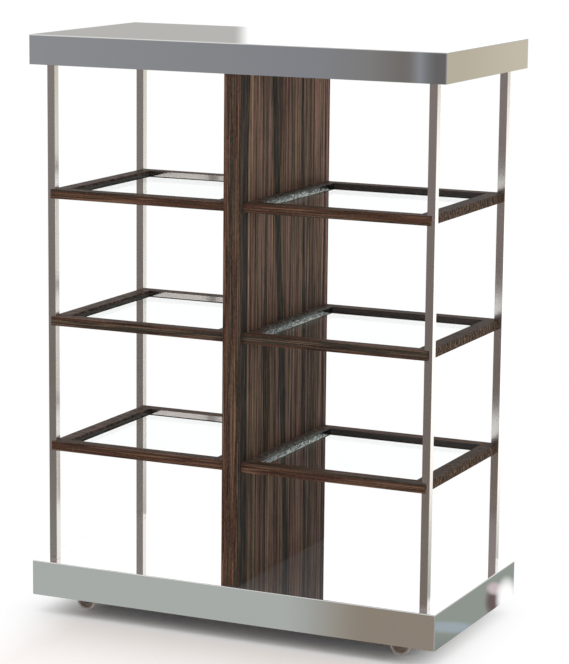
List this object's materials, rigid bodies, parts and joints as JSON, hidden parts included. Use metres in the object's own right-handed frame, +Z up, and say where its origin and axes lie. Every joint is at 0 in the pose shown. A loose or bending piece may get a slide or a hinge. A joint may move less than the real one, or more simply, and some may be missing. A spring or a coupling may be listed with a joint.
{
  "type": "mobile bar unit",
  "caption": "Rolling bar unit: steel worktop and base joined by square posts and a striped veneer panel, with framed glass shelves on both sides and swivel castors under the base",
  "frame": {"origin": "centre of the footprint on the floor, under the middle of the base", "axes": "+Z up, -Y towards the front seen in the picture, +X to the right as seen from the front"},
  "size_m": [1.2, 0.6, 1.6],
  "materials": {
    "polished_steel": "polished",
    "plated_steel": "zinc plated",
    "ball_steel": "ground",
    "chassis_paint": "satin",
    "board": "raw board",
    "striped_veneer": "satin lacquer",
    "dowel_wood": "raw",
    "clear_glass": "clear",
    "wheel_plastic": "moulded",
    "tyre_rubber": "matt"
  },
  "bodies": {
    "cabinet": {"top_casing": "polished_steel", "top_core": "board", "top_soffit": "plated_steel", "base_casing": "polished_steel", "base_deck": "board", "base_chassis": "chassis_paint", "post_front_left": "polished_steel", "post_front_right": "polished_steel", "post_rear_left": "polished_steel", "post_rear_right": "polished_steel", "post_plugs": "plated_steel", "post_bolts": "plated_steel", "centre_panel": "striped_veneer", "panel_front_lipping": "striped_veneer", "panel_rear_lipping": "striped_veneer", "panel_bolts": "plated_steel", "shelf_frame_left_lower": "striped_veneer", "shelf_frame_left_middle": "striped_veneer", "shelf_frame_left_upper": "striped_veneer", "shelf_frame_right_lower": "striped_veneer", "shelf_frame_right_middle": "striped_veneer", "shelf_frame_right_upper": "striped_veneer", "shelf_glass_left_lower": "clear_glass", "shelf_glass_left_middle": "clear_glass", "shelf_glass_left_upper": "clear_glass", "shelf_glass_right_lower": "clear_glass", "shelf_glass_right_middle": "clear_glass", "shelf_glass_right_upper": "clear_glass", "shelf_trim_left_lower": "polished_steel", "shelf_trim_left_middle": "polished_steel", "shelf_trim_left_upper": "polished_steel", "shelf_trim_right_lower": "polished_steel", "shelf_trim_right_middle": "polished_steel", "shelf_trim_right_upper": "polished_steel", "shelf_pins": "plated_steel", "shelf_dowels": "dowel_wood", "castor_plate_front_left": "plated_steel", "castor_plate_front_right": "plated_steel", "castor_plate_rear_left": "plated_steel", "castor_plate_rear_right": "plated_steel", "castor_balls": "ball_steel", "castor_bolts": "plated_steel"},
    "swivel_front_left": {"castor_fork_front_left": "plated_steel", "castor_axle_front_left": "plated_steel"},
    "wheel_front_left": {"castor_wheel_front_left": "wheel_plastic", "castor_tyre_front_left": "tyre_rubber"},
    "swivel_front_right": {"castor_fork_front_right": "plated_steel", "castor_axle_front_right": "plated_steel"},
    "wheel_front_right": {"castor_wheel_front_right": "wheel_plastic", "castor_tyre_front_right": "tyre_rubber"},
    "swivel_rear_left": {"castor_fork_rear_left": "plated_steel", "castor_axle_rear_left": "plated_steel"},
    "wheel_rear_left": {"castor_wheel_rear_left": "wheel_plastic", "castor_tyre_rear_left": "tyre_rubber"},
    "swivel_rear_right": {"castor_fork_rear_right": "plated_steel", "castor_axle_rear_right": "plated_steel"},
    "wheel_rear_right": {"castor_wheel_rear_right": "wheel_plastic", "castor_tyre_rear_right": "tyre_rubber"}
  },
  "joints": [
    {"name": "swivel_turn_front_left", "type": "hinge", "parent": "cabinet", "child": "swivel_front_left", "pos_m": [-0.495, -0.2143, 0.07], "axis": [0, 0, 1], "continuous": true},
    {"name": "wheel_spin_front_left", "type": "hinge", "parent": "swivel_front_left", "child": "wheel_front_left", "pos_m": [-0.473, -0.2143, 0.029], "axis": [0, 1, 0], "continuous": true},
    {"name": "swivel_turn_front_right", "type": "hinge", "parent": "cabinet", "child": "swivel_front_right", "pos_m": [0.495, -0.2143, 0.07], "axis": [0, 0, 1], "continuous": true},
    {"name": "wheel_spin_front_right", "type": "hinge", "parent": "swivel_front_right", "child": "wheel_front_right", "pos_m": [0.473, -0.2143, 0.029], "axis": [0, 1, 0], "continuous": true},
    {"name": "swivel_turn_rear_left", "type": "hinge", "parent": "cabinet", "child": "swivel_rear_left", "pos_m": [-0.495, 0.2143, 0.07], "axis": [0, 0, 1], "continuous": true},
    {"name": "wheel_spin_rear_left", "type": "hinge", "parent": "swivel_rear_left", "child": "wheel_rear_left", "pos_m": [-0.473, 0.2143, 0.029], "axis": [0, 1, 0], "continuous": true},
    {"name": "swivel_turn_rear_right", "type": "hinge", "parent": "cabinet", "child": "swivel_rear_right", "pos_m": [0.495, 0.2143, 0.07], "axis": [0, 0, 1], "continuous": true},
    {"name": "wheel_spin_rear_right", "type": "hinge", "parent": "swivel_rear_right", "child": "wheel_rear_right", "pos_m": [0.473, 0.2143, 0.029], "axis": [0, 1, 0], "continuous": true}
  ]
}
